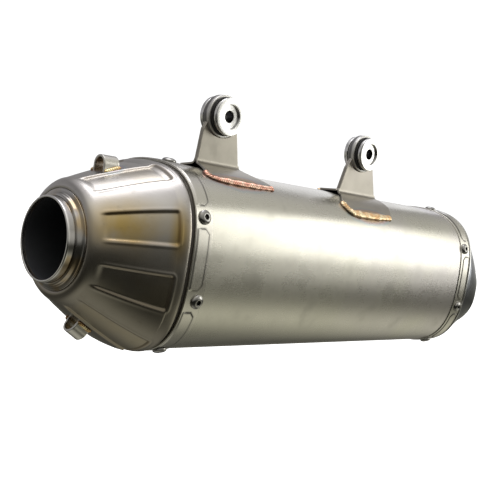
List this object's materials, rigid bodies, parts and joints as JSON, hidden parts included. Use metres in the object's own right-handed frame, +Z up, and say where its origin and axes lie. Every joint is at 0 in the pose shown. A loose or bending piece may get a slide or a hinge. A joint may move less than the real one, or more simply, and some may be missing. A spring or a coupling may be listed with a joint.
{
  "type": "exhaust muffler",
  "caption": "Off-road motorcycle exhaust muffler: oval metal sleeve, stamped inlet cone, cut-back outlet cap, banded ends, hangers with rubber-mounted bushes and spring hooks.",
  "frame": {"origin": "centre of the inlet mouth, on the core axis", "axes": "+X along the perforated core to the outlet, +Z up towards the hangers, -Y the outer side that the broad bush faces look to"},
  "size_m": [0.44, 0.1116, 0.172],
  "materials": {
    "sleeve_steel": "fine brushed, satin",
    "band_steel": "satin with pressed panels",
    "cone_steel": "satin, heat-tinted straw to brown",
    "cap_steel": "polished dark, blue-grey",
    "pipe_steel": "polished",
    "inner_steel": "mill finish",
    "packing_wool": "glass fibre wool",
    "hanger_steel": "satin sheet",
    "grommet_rubber": "matt black",
    "bush_aluminium": "machined, polished faces",
    "hook_steel": "satin strip, heat-tinted",
    "weld_metal": "rippled weld bead, straw to copper heat colour",
    "screw_steel": "polished stainless"
  },
  "bodies": {
    "root": {"outer_sleeve": "sleeve_steel", "inlet_band": "band_steel", "outlet_band": "band_steel", "inlet_cone": "cone_steel", "inlet_flange": "inner_steel", "inlet_pipe": "pipe_steel", "inlet_collar": "pipe_steel", "perforated_core": "inner_steel", "packing": "packing_wool", "front_baffle": "inner_steel", "rear_baffle": "inner_steel", "outlet_flange": "inner_steel", "outlet_cap": "cap_steel", "outlet_pipe": "pipe_steel", "outlet_tip": "pipe_steel", "spark_screen": "inner_steel", "screen_ring": "pipe_steel", "front_hanger_near": "hanger_steel", "front_hanger_far": "hanger_steel", "front_hanger_ring": "hanger_steel", "front_grommet": "grommet_rubber", "front_hanger_welds": "weld_metal", "rear_hanger_near": "hanger_steel", "rear_hanger_far": "hanger_steel", "rear_hanger_ring": "hanger_steel", "rear_grommet": "grommet_rubber", "rear_hanger_welds": "weld_metal", "top_spring_hook": "hook_steel", "bottom_spring_hook": "hook_steel", "top_hook_welds": "weld_metal", "bottom_hook_welds": "weld_metal", "inlet_screws": "screw_steel", "outlet_screws": "screw_steel", "inlet_weld_nuts": "inner_steel", "outlet_weld_nuts": "inner_steel"},
    "front_bush": {"front_bush_near": "bush_aluminium", "front_bush_far": "bush_aluminium"},
    "rear_bush": {"rear_bush_near": "bush_aluminium", "rear_bush_far": "bush_aluminium"}
  },
  "joints": [
    {"name": "front_bush_spin", "type": "hinge", "parent": "root", "child": "front_bush", "pos_m": [0.1187, -0.006, 0.0924], "axis": [0, 1, 0], "continuous": true},
    {"name": "rear_bush_spin", "type": "hinge", "parent": "root", "child": "rear_bush", "pos_m": [0.2614, -0.019, 0.0893], "axis": [0, 1, 0], "continuous": true}
  ]
}
